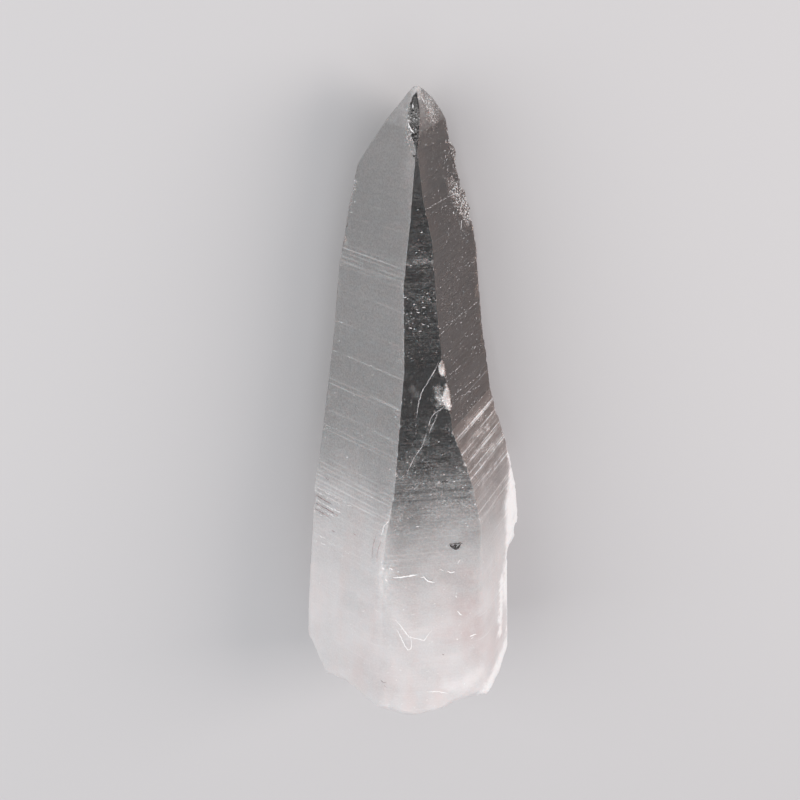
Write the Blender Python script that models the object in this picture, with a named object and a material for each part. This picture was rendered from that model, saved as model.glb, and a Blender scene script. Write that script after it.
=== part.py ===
"""A lemurian quartz crystal: one long tapering point of clear to milky quartz, broken off at its root.

The crystal is modelled along its own long axis: +Y runs to the tip, +Z faces out of the narrow
top face and +X goes across. It is then laid on its broadest face, so the finished part rests on
Z = 0 with its tip towards +Y.

A section across the axis is always a hexagon whose six sides keep their directions, 60 degrees
apart, as the faces of quartz do. Only the distance of each side from the axis changes along the
crystal. Those distances are the driving dimensions, and the growth ledges, which run round the
crystal square to its axis, are short drops in them. Lengths below are in millimetres.
"""

import math
import random

import bmesh
import bpy
from mathutils import Vector

MM = 0.001
NAME = "crystal"

# The six faces in order round the axis, each with the turn of its normal from the top face.
FACES = {"top": 0, "right": 60, "right_back": 120, "back": 180, "left_back": 240, "left": 300}

# Stations are measured along the axis from the broken root to the tip, which is on the axis.
ROOT = -8.0
TIP = 119.6

# For each face, (station, distance from the axis). Between two stations the face is flat.
PROFILE = {
    "top": [(ROOT, 10.2), (TIP, 2.5)],
    "right": [
        (ROOT, 15.1), (12, 14.4), (36, 13.5), (44, 11.9), (48, 10.8), (56, 8.0), (64, 7.1),
        (68, 6.2), (80, 4.8), (92, 3.8), (100, 2.1), (108, 1.1), (116, 0.6), (TIP, 0),
    ],
    "right_back": [
        (ROOT, 21.3), (23.8, 21.0), (24.6, 25.0), (27.6, 26.8), (29, 27.0), (34, 26.0), (37, 25.0),
        (43, 24.2), (49, 22.8), (64, 21.4), (84, 21.1), (90, 19.6), (91, 18.7), (92, 19.3),
        (95.4, 18.1), (97.7, 16.4), (99.2, 16.3), (101, 15.2), (104.2, 15.8), (106.3, 13.5),
        (109, 12.6), (111, 11.8), (113, 9.5), (116, 5.4), (TIP, 0),
    ],
    "back": [(ROOT, 24.08), (98, 17.72), (108, 12.8), (112, 10.4), (116, 5.4), (TIP, 0)],
    "left_back": [
        (ROOT, 23.9), (12, 23.3), (32, 21.9), (40, 21.8), (48, 20.7), (84, 16.8),
        (96, 14.9), (103.2, 13.2), (TIP, 0),
    ],
    "left": [
        (ROOT, 12.5), (20, 11.5), (28, 11.0), (36, 10.0), (44, 8.3), (60, 6.6), (68, 5.7),
        (84, 5.2), (96, 3.7), (108, 2.4), (114, 1.8), (TIP, 0),
    ],
}
BACK_TAPER = 0.06  # the broad back face nears the axis by this much for each mm of length

# Stations of the growth ledges. Those of the two rear faces are spaced at random.
LEDGES = {
    "top": [12.5, 18, 27.5, 36, 41.5, 43.5, 46, 48, 58, 66, 75, 82, 88, 96, 101],
    "left": [
        6, 14, 22, 26, 29, 32, 34, 37.5, 40.5, 42, 44.5, 47, 50, 54, 57, 60, 64, 70, 76, 81,
        86, 93, 99, 105.5, 112,
    ],
    "right": [
        8, 16, 24, 31, 37, 43, 46, 49, 51, 53.5, 55, 58, 60.5, 66, 70, 75, 81, 88, 92, 98, 103,
        108, 112.5,
    ],
}
REAR_LEDGE_GAP = (2.0, 5.5)
REAR_LEDGE_LAST = 98  # the faces that end the crystal above this are smooth
SEED = 11
LEDGE_RUN = 0.4  # length along the axis over which a ledge drops
LEDGE_LEAST = 0.08  # height of a ledge where the face doesn't taper
LEDGE_SHARE = 0.45  # share of a face's taper that its ledges take
LEDGE_MOST = 0.3
SAME_POINT = 0.02  # corners nearer than this are one

# Edges are named by the face before them in FACES. Chips along them:
# (edge, station, radius of the scoop, depth, lean of the scoop towards the tip in degrees)
CHIPS = [
    ("left", 113.2, 13.0, 1.2, 16),
    ("right", 107.0, 1.8, 0.35, 15),
    ("right", 102.4, 2.6, 0.3, 0),
    ("right", 98.0, 1.6, 0.3, -10),
    ("right", 94.6, 1.6, 0.3, 10),
    ("right", 91.0, 1.5, 0.35, 20),
    ("right", 52.0, 2.0, 0.4, 0),
    ("right", 26.6, 1.3, 1.5, 0),
    ("right", 22.6, 3.0, 0.5, -10),
    ("left_back", 98.8, 1.4, 0.35, 0),
    ("left_back", 96.6, 1.2, 0.3, 0),
    ("left_back", 89.6, 1.2, 0.3, 0),
    ("left_back", 36.0, 3.0, 0.5, 0),
    ("top", 68.2, 2.4, 0.5, 10),
    ("top", 63.0, 4.2, 0.6, -5),
    ("top", 26.0, 2.6, 0.4, 0),
    ("right_back", 74.0, 3.0, 0.8, 0),
    ("right_back", 38.0, 4.5, 1.2, 15),
    ("back", 86.0, 2.6, 0.7, 0),
    ("back", 47.0, 3.8, 0.9, -10),
    ("left", 30.0, 2.2, 0.4, 0),
]

WIDE_SCOOP = 12.0  # a scoop of more than this radius is rounded more finely

# The root is one fresh break, hollowed like chipped glass by a few blows:
# ((across, station, out of the top face) of the deepest point, radius, lean right, lean up)
BREAK_SCOOPS = [
    ((6.0, -1.1, -2.0), 90.0, 1.5, 0),
    ((11.0, 0.5, 9.0), 16.0, 4, 30),
    ((-12.0, -0.2, 2.0), 36.0, -12, 0),
    ((-8.8, -0.4, 9.5), 10.0, -10, 25),
    ((-18.0, 4.0, -13.0), 20.0, -48, -14),
    ((19.5, 1.3, -4.5), 16.0, 42, -4),
    ((19.0, 3.0, -12.0), 20.0, 40, -25),
    ((7.0, 3.6, -17.0), 24.0, 16, -34),
    ((-7.0, 4.0, -18.0), 30.0, -12, -30),
]


def clear_scene():
    for collection in (bpy.data.objects, bpy.data.meshes, bpy.data.materials, bpy.data.collections):
        for item in list(collection):
            collection.remove(item)


def new_collection(name, hidden=False):
    collection = bpy.data.collections.new(name)
    bpy.context.scene.collection.children.link(collection)
    collection.hide_render = hidden
    return collection


def quartz_material():
    material = bpy.data.materials.new("quartz")
    material.use_nodes = True
    shader = material.node_tree.nodes["Principled BSDF"]
    shader.inputs["Base Color"].default_value = (0.86, 0.84, 0.84, 1.0)
    shader.inputs["Roughness"].default_value = 0.12
    shader.inputs["Metallic"].default_value = 0.0
    shader.inputs["IOR"].default_value = 1.544
    shader.inputs["Transmission Weight"].default_value = 0.85
    return material


def normal_of(face):
    """Which way a face looks, as (across, out of the top face)."""
    turn = math.radians(FACES[face])
    return Vector((math.sin(turn), math.cos(turn)))


def along(profile, station):
    """The distance that a profile gives at a station."""
    for (start, near), (end, far) in zip(profile, profile[1:]):
        if station <= end:
            return near + (far - near) * (station - start) / (end - start)
    return profile[-1][1]


def ledge_stations():
    """Every face's ledges. The back has none, because the crystal rests on it."""
    rng = random.Random(SEED)
    ledges = dict(LEDGES, back=[])
    for face in ("right_back", "left_back"):
        ledges[face] = []
        station = ROOT
        while station < REAR_LEDGE_LAST:
            ledges[face].append(round(station, 1))
            station += rng.uniform(*REAR_LEDGE_GAP)
    return ledges


def relief(face, station, ledges):
    """How far a face stands out of its flat profile, so that it climbs in small ledges."""
    starts = ledges[face]
    if not starts or not starts[0] < station < starts[-1]:
        return 0.0
    last = max(i for i, start in enumerate(starts) if start <= station)
    start, end = starts[last], starts[last + 1]
    taper = along(PROFILE[face], start) - along(PROFILE[face], end)
    height = min(LEDGE_MOST, LEDGE_LEAST + LEDGE_SHARE * max(0.0, taper))
    foot = start + LEDGE_RUN
    if station < foot:
        return height * (0.5 - (station - start) / LEDGE_RUN)
    return height * ((station - foot) / (end - foot) - 0.5)


def distances(station, ledges):
    """Each face's distance at a station. One that its neighbours cut off ends where they meet."""
    found = {}
    for face in FACES:
        found[face] = along(PROFILE[face], station) + relief(face, station, ledges)
    names = list(FACES)
    for _ in range(3):
        for i, face in enumerate(names):
            most = found[names[i - 1]] + found[names[(i + 1) % 6]]
            found[face] = max(0.0, min(found[face], most))
    return found


def section(station, ledges):
    """The six corners at a station, each after the face that it is named for."""
    found = distances(station, ledges)
    names = list(FACES)
    corners = {}
    for i, face in enumerate(names):
        after = names[(i + 1) % 6]
        near, far = found[face], found[after]
        spot = normal_of(face) * (2 * near - far) * 2 / 3 + normal_of(after) * (2 * far - near) * 2 / 3
        corners[face] = Vector((spot.x, station, spot.y))
    return corners


def build_body(ledges):
    """The unbroken crystal, lofted through its sections."""
    stations = {ROOT}
    for face in FACES:
        stations.update(station for station, _ in PROFILE[face])
        for start in ledges[face]:
            stations.update((start, round(start + LEDGE_RUN, 1)))
    stations = sorted(station for station in stations if ROOT <= station < TIP)

    mesh = bpy.data.meshes.new(NAME)
    bm = bmesh.new()
    rings = []
    for station in stations:
        corners = section(station, ledges)
        rings.append([bm.verts.new(corners[face] * MM) for face in FACES])
    tip = bm.verts.new(Vector((0, TIP, 0)) * MM)
    bm.faces.new(rings[0])
    for lower, upper in zip(rings, rings[1:]):
        for i in range(6):
            j = (i + 1) % 6
            bm.faces.new((lower[j], lower[i], upper[i], upper[j]))
    for i in range(6):
        bm.faces.new((rings[-1][(i + 1) % 6], rings[-1][i], tip))
    bmesh.ops.remove_doubles(bm, verts=bm.verts, dist=SAME_POINT * MM)
    bmesh.ops.recalc_face_normals(bm, faces=bm.faces)
    bm.to_mesh(mesh)
    bm.free()
    return bpy.data.objects.new(NAME, mesh)


def add_scoop(name, deepest, outward, radius, body, cutters):
    """Cuts a spherical hollow into the body. Its deepest point and the way out of it are given."""
    fine = 4 if radius > WIDE_SCOOP else 3
    bpy.ops.mesh.primitive_ico_sphere_add(subdivisions=fine, radius=radius * MM)
    ball = bpy.context.active_object
    ball.name = name
    ball.location = (deepest + outward.normalized() * radius) * MM
    ball.rotation_euler = (radius, 2 * radius, 3 * radius)  # turned, so that no two look alike
    ball.display_type = "WIRE"
    ball.hide_render = True
    for collection in list(ball.users_collection):
        collection.objects.unlink(ball)
    cutters.objects.link(ball)
    ball.parent = body.parent
    cut = body.modifiers.new(name, "BOOLEAN")
    cut.operation = "DIFFERENCE"
    cut.solver = "EXACT"
    cut.object = ball


def break_root(body, cutters):
    for number, (deepest, radius, right, up) in enumerate(BREAK_SCOOPS, 1):
        outward = Vector((math.sin(math.radians(right)), -1.0, math.sin(math.radians(up))))
        add_scoop(f"break_scoop_{number}", Vector(deepest), outward, radius, body, cutters)


def chip_edges(body, ledges, cutters):
    names = list(FACES)
    for number, (face, station, radius, depth, lean) in enumerate(CHIPS, 1):
        after = names[(names.index(face) + 1) % 6]
        side = (normal_of(face) + normal_of(after)).normalized()
        outward = Vector((side.x, math.tan(math.radians(lean)), side.y)).normalized()
        deepest = section(station, ledges)[face] - outward * depth
        add_scoop(f"edge_chip_{number}", deepest, outward, radius, body, cutters)


def lay_down(crystal, holder):
    """Turns the crystal so that its back lies flat on Z = 0, and centres it on the origin."""
    tilt = math.atan(BACK_TAPER)
    holder.rotation_euler = (-tilt, 0, 0)
    at_axis = along(PROFILE["back"], ROOT) + ROOT * BACK_TAPER
    holder.location = (0, 0, at_axis * math.cos(tilt) * MM)
    bpy.context.view_layer.update()
    seen = crystal.evaluated_get(bpy.context.evaluated_depsgraph_get())
    points = [seen.matrix_world @ vertex.co for vertex in seen.data.vertices]
    holder.location.x -= (min(p.x for p in points) + max(p.x for p in points)) / 2
    holder.location.y -= (min(p.y for p in points) + max(p.y for p in points)) / 2


def main():
    clear_scene()
    part = new_collection("lemurian_quartz_crystal")
    cutters = new_collection("cutters", hidden=True)
    ledges = ledge_stations()

    holder = bpy.data.objects.new("laid_on_back_face", None)
    part.objects.link(holder)
    crystal = build_body(ledges)
    part.objects.link(crystal)
    crystal.parent = holder
    crystal.data.materials.append(quartz_material())

    chip_edges(crystal, ledges, cutters)
    break_root(crystal, cutters)
    lay_down(crystal, holder)


main()
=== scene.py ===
import math

import bmesh
import bpy
import numpy as np
from mathutils import Matrix, Vector, noise
from mathutils.bvhtree import BVHTree


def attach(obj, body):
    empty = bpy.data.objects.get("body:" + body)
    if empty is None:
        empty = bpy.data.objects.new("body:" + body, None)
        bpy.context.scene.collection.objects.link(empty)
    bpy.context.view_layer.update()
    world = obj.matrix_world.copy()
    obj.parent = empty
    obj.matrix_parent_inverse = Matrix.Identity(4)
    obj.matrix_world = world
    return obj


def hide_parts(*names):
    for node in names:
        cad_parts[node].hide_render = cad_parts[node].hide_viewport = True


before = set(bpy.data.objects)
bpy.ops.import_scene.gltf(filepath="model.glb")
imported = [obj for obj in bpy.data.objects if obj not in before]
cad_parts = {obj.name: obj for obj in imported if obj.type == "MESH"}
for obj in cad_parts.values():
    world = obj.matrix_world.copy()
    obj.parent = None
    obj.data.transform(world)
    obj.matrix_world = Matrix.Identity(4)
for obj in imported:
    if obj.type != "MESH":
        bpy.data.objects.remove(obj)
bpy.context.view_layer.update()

mm = 0.001

# Everything about the crystal is in millimetres in its own frame: x across, y along its axis
# from the broken root to the tip, z out of the narrow top face.
crystal = dict(
    base=-8.0,               # station of the lowest ring, out past the break
    tip=119.6,
    topGap=0.05,             # least gap from the last ring to the tip
    backTaper=0.06,          # how fast the broad back face nears the axis
    turns=dict(top=0, right=60, rightBack=120, back=180, leftBack=240, left=300),
    columns=dict(top=24, right=30, rightBack=22, back=14, leftBack=22, left=30),
    ringPitch=0.2,
    edgeCrowding=0.55,       # columns stand closer together near the edges
    keptFrom=-3.0,           # the ring that is bent to the rim of the break
    straightFrom=9.0,        # rings below this one bend down to meet the break
    merge=0.004,             # points closer than this become one
    sharpAngle=28,           # degrees from which an edge is shown sharp
    profile=dict(            # (station, distance from the axis) of each face
        top=[(-8, 10.2), (119.6, 2.5)],
        right=[
            (-8, 15.1), (12, 14.4), (36, 13.5), (44, 11.9), (48, 10.8), (56, 8), (64, 7.1), (68, 6.2),
            (80, 4.8), (92, 3.8), (100, 2.1), (108, 1.1), (116, 0.6), (119.6, 0),
        ],
        rightBack=[
            (-8, 21.3), (23.8, 21), (24.6, 25), (27.6, 26.8), (29, 27), (34, 26), (37, 25),
            (43, 24.2), (49, 22.8), (64, 21.4), (84, 21.1), (90, 19.6), (91, 18.7), (92, 19.3),
            (95.4, 18.1), (97.7, 16.4), (99.2, 16.3), (101, 15.2), (104.2, 15.8), (106.3, 13.5),
            (109, 12.6), (111, 11.8), (113, 9.9), (116, 6.3), (118, 3.9), (119.1, 2), (119.6, 0),
        ],
        back=[
            (-8, 24.08), (98, 17.72), (108, 12.8), (112, 10.4), (116, 5.7), (118.4, 2.6),
            (119.3, 1.1), (119.6, 0),
        ],
        leftBack=[
            (-8, 23.9), (12, 23.3), (32, 21.9), (40, 21.8), (48, 20.7), (84, 16.8), (96, 14.9),
            (103.2, 13.2), (107.7, 10.1), (110.9, 7.8), (113.8, 5.6), (116.1, 3.6), (118.2, 1.9),
            (119.3, 0.9), (119.6, 0),
        ],
        left=[
            (-8, 12.5), (20, 11.5), (28, 11), (36, 10), (44, 8.3), (60, 6.6), (68, 5.7), (84, 5.2),
            (96, 3.7), (108, 2.4), (114, 1.8), (118, 1.2), (119.3, 0.6), (119.6, 0),
        ],
    ),
)
faceNames = list(crystal["turns"])


def faceNormal(name):
    turn = math.radians(crystal["turns"][name])
    return np.array([math.sin(turn), 0.0, math.cos(turn)])


def tableAt(table, stations, column=1):
    # A table whose rows start with a station, read at any stations.
    rows = np.array(table, float)
    return np.interp(stations, rows[:, 0], rows[:, column])


def spotOnLine(line, lineStations, stations):
    # The points of a line along the crystal at one or more stations.
    return np.array([np.interp(stations, lineStations, line[:, axis]) for axis in (0, 1, 2)]).T


def faceDistance(name, stations):
    return tableAt(crystal["profile"][name], stations)


def faceAfter(name):
    return faceNames[(faceNames.index(name) + 1) % len(faceNames)]


def edgeOut(edge, side=0.0):
    # The way out of an edge. Side turns it towards the face before the edge, or after it.
    out = faceNormal(edge) * (1 + side) + faceNormal(faceAfter(edge)) * (1 - side)
    return out / np.linalg.norm(out)


def eased(share):
    return share * share * (3 - 2 * share)


# The ladder of growth ledges, a few bold ones and many fine ones, all square to the axis.
ladder = dict(
    bold=dict(
        top=[12.5, 18, 27.5, 36, 41.5, 43.5, 46, 48, 58, 66, 75, 82, 88, 96, 101],
        left=[
            6, 14, 20, 26, 29, 31.5, 32.5, 33.4, 34.4, 36, 37.5, 38.6, 39.8, 40.7, 41.6, 42.5, 43.4,
            44.6, 47, 50.4, 51.2, 54.3, 59.8, 60.7, 66.4, 70, 75, 79.2, 83.8, 84.8, 85.6, 86.4, 87.2,
            93, 99, 105.5, 112,
        ],
        right=[
            8, 16, 24, 31, 37, 41, 43.8, 45, 46.2, 47.4, 49, 50.2, 51.6, 53, 54.3, 55.6, 58, 59.6, 61,
            66, 70, 75, 81, 88, 92, 97.8, 103, 108, 112.8,
        ],
    ),
    boldHeight=dict(top=(0.02, 0.06), left=(0.02, 0.05), right=(0.02, 0.06)),
    rearHeight=(0.05, 0.14),
    rearGap=(2.0, 5.5),
    rearFrom=-6.0,
    fineGap=(0.5, 2.0),
    fineHeight=(0.008, 0.03),
    fineFrom=-7.0,
    crowdedBelow=62,         # fine ledges stand closer together in the lower half
    crowding=0.55,
    smoothFrom=dict(rightBack=100, leftBack=103, back=-9),
    smoothTip=3,             # millimetres below the tip without ledges
    waver=0.12,              # how far a ledge strays from its own ring
    waverGrid=(12, 4),       # rings and columns to a wave
    fading=0.7,              # how much a ledge fades in and out across a face
    fadingGrid=(14, 8),
    calmWidth=4,             # narrower faces waver less
    seed=5,
)


def ladderRelief(name, stations, rng):
    # Drops at each ledge, and a steady climb between them that makes up for the drops.
    drops = np.zeros(len(stations))
    end = ladder["smoothFrom"].get(name, crystal["tip"] - ladder["smoothTip"])
    bold = ladder["bold"].get(name)
    if bold is None:
        bold = []
        station = ladder["rearFrom"]
        while station < end:
            bold.append(station)
            station += rng.uniform(*ladder["rearGap"])
    height = ladder["boldHeight"].get(name, ladder["rearHeight"])
    for station in bold:
        drops[np.searchsorted(stations, station)] += rng.uniform(*height)
    station = ladder["fineFrom"]
    while station < end:
        crowding = ladder["crowding"] if station < ladder["crowdedBelow"] else 1.0
        station += rng.uniform(*ladder["fineGap"]) * crowding
        if station < end:
            drops[np.searchsorted(stations, station)] += rng.uniform(*ladder["fineHeight"])
    fallen = np.cumsum(drops)
    marks = np.flatnonzero(drops)
    if len(marks) < 2:
        return np.zeros(len(stations))
    steady = np.interp(np.arange(len(stations)), marks, fallen[marks] - drops[marks] / 2)
    inside = (stations > stations[marks[0]]) & (stations < stations[marks[-1]])
    return np.where(inside, steady - fallen, 0.0)


def smoothNoise(rng, rows, columns, rowScale, columnScale):
    # A smooth random field from -1 to 1, by interpolating a coarse random grid.
    coarse = rng.uniform(-1, 1, (max(2, rows // rowScale) + 2, max(2, columns // columnScale) + 2))
    r = np.linspace(0, coarse.shape[0] - 1.001, rows)
    c = np.linspace(0, coarse.shape[1] - 1.001, columns)
    ri, ci = r.astype(int), c.astype(int)
    rf, cf = r - ri, c - ci
    rf, cf = eased(rf), eased(cf)
    a = coarse[ri][:, ci] * (1 - cf) + coarse[ri][:, ci + 1] * cf
    b = coarse[ri + 1][:, ci] * (1 - cf) + coarse[ri + 1][:, ci + 1] * cf
    return a * (1 - rf)[:, None] + b * rf[:, None]


def cloudy(points, wave, place):
    # Uneven noise of about -1 to 1 over the points: millimetres to a wave, place in the noise.
    start = Vector((place, 2.3 * place, -place))
    points = [Vector(point) / wave + start for point in points.tolist()]
    return np.array([noise.fractal(point, 1.0, 2.0, 3) for point in points])


# The root is one fresh break, hollowed by a few blows.
rootBreak = dict(
    scoops=[                 # deepest point, radius, lean to the right and up in degrees
        ((6, -1.1, -2), 90, 1.5, 0), ((11, 0.5, 9), 16, 4, 30), ((-12, -0.2, 2), 36, -12, 0),
        ((-8.8, -0.4, 9.5), 10, -10, 25), ((-18, 4, -13), 20, -48, -14),
        ((19.5, 1.3, -4.5), 16, 42, -4), ((19, 3, -12), 20, 40, -25), ((7, 3.6, -17), 24, 16, -34),
        ((-7, 4, -18), 30, -12, -30),
    ],
    rings=44,
    ringCrowding=1.4,        # rings stand closer together near the rim
    ripple=0.09,
    rippleGap=1.7,
    rippleShift=0.25,        # how far the ripples' middle moves with each degree of lean
    roughness=[(2.3, 0.16), (0.9, 0.12), (0.43, 0.06)],  # millimetres to a wave, height
    rimWear=0.9,             # how far the rim is rounded
    wearChange=0.5,
    wearNoise=(4, 2),        # millimetres to a wave, place in the noise
    # Painted glints over the break, on a polished and bumpy surface.
    glitter=0.5,
    glitterNoise=(2.5, 4),
)


def breakHeight(across, out):
    # Station of the break over each point of the section: the deepest of the blows there.
    height = np.full(np.shape(across), crystal["base"])
    shift = rootBreak["rippleShift"]
    for deepest, radius, right, up in rootBreak["scoops"]:
        lean = np.array([math.sin(math.radians(right)), -1.0, math.sin(math.radians(up))])
        lean /= np.linalg.norm(lean)
        centre = np.array(deepest) + lean * radius
        left = radius ** 2 - (across - centre[0]) ** 2 - (out - centre[2]) ** 2
        top = centre[1] + np.sqrt(np.maximum(left, 0))
        # Ripples spread from where the blow fell.
        away = np.hypot(across - deepest[0] - right * shift, out - deepest[2] - up * shift)
        top = top + rootBreak["ripple"] * np.sin(away * 2 * np.pi / rootBreak["rippleGap"] + radius)
        height = np.where(left > 0, np.maximum(height, top), height)
    for wave, size in rootBreak["roughness"]:    # the factors only keep the waves out of step
        height = height + size * np.sin(across / wave + 1.7 * np.sin(out / wave * 0.8 + wave))
        height = height + size * np.cos(out / wave * 1.1 + 1.3 * np.sin(across / wave * 0.7 - wave))
    return height


def crystalGrid():
    # Points of every ring, face by face, the face of each column, and the lines of the edges.
    rng = np.random.default_rng(ladder["seed"])
    stations = np.arange(crystal["base"], crystal["tip"] - crystal["topGap"], crystal["ringPitch"])
    flat = {name: faceDistance(name, stations) for name in faceNames}
    relief = {name: ladderRelief(name, stations, rng) for name in faceNames}
    full = {name: flat[name] + relief[name] for name in faceNames}
    for _ in range(3):       # no face stands out past the meeting of its neighbours
        for i, name in enumerate(faceNames):
            most = full[faceNames[i - 1]] + full[faceAfter(name)]
            full[name] = np.clip(full[name], 0, most)

    corners = []
    for name in faceNames:
        after = faceAfter(name)
        near, far = full[name][:, None], full[after][:, None]
        spot = faceNormal(name) * (2 * near - far) * 2 / 3
        spot = spot + faceNormal(after) * (2 * far - near) * 2 / 3
        spot[:, 1] = stations
        corners.append(spot)

    strips = []
    owners = []
    for i, name in enumerate(faceNames):
        count = crystal["columns"][name]
        start, end = corners[i - 1], corners[i]
        share = np.arange(count) / count
        share = share - crystal["edgeCrowding"] * np.sin(2 * np.pi * share) / (2 * np.pi)
        strip = start[:, None] * (1 - share)[None, :, None] + end[:, None] * share[None, :, None]
        # The ledges waver a little across the face and fade in and out.
        width = np.linalg.norm(end - start, axis=1)
        calm = np.sin(np.pi * share)[None, :] ** 0.5
        calm = calm * np.minimum(1, width / ladder["calmWidth"])[:, None]
        waver = smoothNoise(rng, len(stations), count, *ladder["waverGrid"]) * ladder["waver"] * calm
        fading = smoothNoise(rng, len(stations), count, *ladder["fadingGrid"])
        strength = 1 + ladder["fading"] * fading * calm
        rows = np.arange(len(stations))[:, None] + waver / crystal["ringPitch"]
        shifted = np.interp(rows.ravel(), np.arange(len(stations)), relief[name]).reshape(rows.shape)
        lift = (shifted * strength - relief[name][:, None]) * np.sign(calm)
        strip = strip + lift[:, :, None] * faceNormal(name)
        strips.append(strip)
        owners += [i] * count
    edges = dict(stations=stations, lines=dict(zip(faceNames, corners)))
    return stations, np.concatenate(strips, axis=1), np.array(owners), edges


# Edges that wear has rounded. An edge has the name of the face before it in the turns above.
# Each row: station, reach of the rounding.
wornEdges = dict(
    left=[(-8, 3.4), (10, 3.0), (20, 1.8), (28, 0.6), (34, 0.25), (41, 0.2), (42, 0)],
    top=[(-8, 2.8), (14, 2.2), (24, 1.0), (34, 0.1), (40, 0)],
    right=[(-8, 1.0), (20, 0.7), (24, 0.2), (26, 0), (104, 0.1), (116, 0.3), (119, 0.5)],
    leftBack=[(-8, 1.0), (28, 0.5), (34, 0.05), (104, 0.1), (113, 0.3), (119, 0.5)],
    rightBack=[(-8, 0.8), (30, 0.1), (108, 0.05), (119, 0.4)],
    back=[(-8, 0.8), (30, 0.1), (108, 0.05), (119, 0.4)],
)


def wearEdges(points, edges):
    for edge, table in wornEdges.items():
        out = edgeOut(edge)
        reach = tableAt(table, points[:, 1])
        gap = points - spotOnLine(edges["lines"][edge], edges["stations"], points[:, 1])
        above = gap[:, 0] * out[0] + gap[:, 2] * out[2]
        worn = (above > -reach) & (reach > 0)
        points[worn] -= ((above + reach)[worn] ** 2 / (2 * reach[worn]))[:, None] * out


# Chips along the edges: edge, station, radius of the hollow, depth, lean towards the tip in
# degrees, and whiteness, or clearness where it's below zero. A clear chip also takes painted shade.
chips = dict(
    single=[
        ("left", 113.2, 13, 1.2, 16, -1), ("right", 107, 1.8, 0.35, 15, 0.3),
        ("right", 102.4, 2.6, 0.3, 0, 0.3), ("right", 98, 1.6, 0.3, -10, 0.4),
        ("right", 94.6, 1.6, 0.3, 10, 0.5), ("right", 91, 1.5, 0.35, 20, 0.5),
        ("right", 52, 2, 0.4, 0, 0.4), ("right", 25.7, 1.2, 1, 0, 0.8),
        ("right", 22.6, 3, 0.5, -10, 0.8), ("leftBack", 98.8, 1.4, 0.35, 0, 0.2),
        ("leftBack", 96.6, 1.2, 0.3, 0, 0.2), ("leftBack", 89.6, 1.2, 0.3, 0, 0.2),
        ("leftBack", 36, 3, 0.5, 0, 0.4), ("top", 68.2, 2.4, 0.5, 10, 0.6),
        ("top", 63, 4.2, 0.6, -5, 0.65), ("top", 26, 2.6, 0.4, 0, 0.5),
        ("rightBack", 74, 3, 0.8, 0, 0.3), ("rightBack", 38, 4.5, 1.2, 15, 0.5),
        ("back", 86, 2.6, 0.7, 0, 0.3), ("back", 47, 3.8, 0.9, -10, 0.4),
        ("left", 30, 2.2, 0.4, 0, 0.1),
    ],
    # runs of small nicks: edge, from, to, how many, (least, most) radius, depth, whiteness
    runs=[
        ("right", 89, 110, 44, (0.3, 0.8), (0.05, 0.22), 0.5),
        ("right", 24, 34, 14, (0.4, 1), (0.08, 0.25), 0.7),
        ("right", 0, 88, 40, (0.3, 0.9), (0.04, 0.16), 0.4),
        ("leftBack", 84, 102, 10, (0.7, 1.4), (0.1, 0.3), 0.05),
        ("leftBack", 84, 102, 12, (0.3, 0.6), (0.06, 0.2), 0.3),
        ("leftBack", 8, 84, 40, (0.3, 0.8), (0.03, 0.12), 0.1),
        ("top", 10, 106, 26, (0.25, 0.6), (0.02, 0.08), 0.25),
        ("left", 10, 108, 22, (0.25, 0.6), (0.02, 0.07), 0.2),
        ("rightBack", 0, 108, 60, (0.4, 1.4), (0.05, 0.25), 0.4),
        ("back", 0, 108, 60, (0.4, 1.4), (0.05, 0.25), 0.4),
        ("left", 109, 117, 26, (0.3, 0.9), (0.05, 0.25), -0.5),
    ],
    deepest=0.6,             # greatest depth of a nick, as a share of its radius
    leanRange=(-35, 35),
    sideRange=(-0.5, 0.5),   # how far a nick turns towards one of its faces
    crumble=0.09,            # unevenness of a chip, as a share of its radius
    mostCrumble=0.07,
    seed=3,
)


def chipAway(points, edges):
    # Pushes every point that a blow reaches down into the hollow that it left.
    rng = np.random.default_rng(chips["seed"])
    blows = [blow + (0.0,) for blow in chips["single"]]
    for edge, low, high, count, radii, depths, white in chips["runs"]:
        for _ in range(count):
            radius = rng.uniform(*radii)
            depth = min(rng.uniform(*depths), radius * chips["deepest"])
            lean = rng.uniform(*chips["leanRange"])
            side = rng.uniform(*chips["sideRange"])
            blows.append((edge, rng.uniform(low, high), radius, depth, lean, white, side))
    white = np.zeros(len(points))
    clear = np.zeros(len(points))
    uneven = np.abs(rng.uniform(-1, 1, len(points)))
    for edge, station, radius, depth, lean, whiteness, side in blows:
        out = edgeOut(edge, side)
        out[1] = math.tan(math.radians(lean))
        out /= np.linalg.norm(out)
        gap = points - spotOnLine(edges["lines"][edge], edges["stations"], station)
        gap -= out * (radius - depth)
        along = gap @ out
        aside = np.linalg.norm(gap - along[:, None] * out, axis=1)
        hollow = -np.sqrt(np.maximum(radius ** 2 - aside ** 2, 0))
        hit = (aside < radius) & (along > hollow)
        crumble = min(chips["crumble"] * radius, chips["mostCrumble"])
        points[hit] += (hollow[hit] - along[hit] - uneven[hit] * crumble)[:, None] * out
        if whiteness > 0:
            white[hit] = np.maximum(white[hit], whiteness)
        else:
            # Clearness. The material also gives these points painted shade.
            clear[hit] = np.maximum(clear[hit], -whiteness)
    return white, clear
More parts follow.
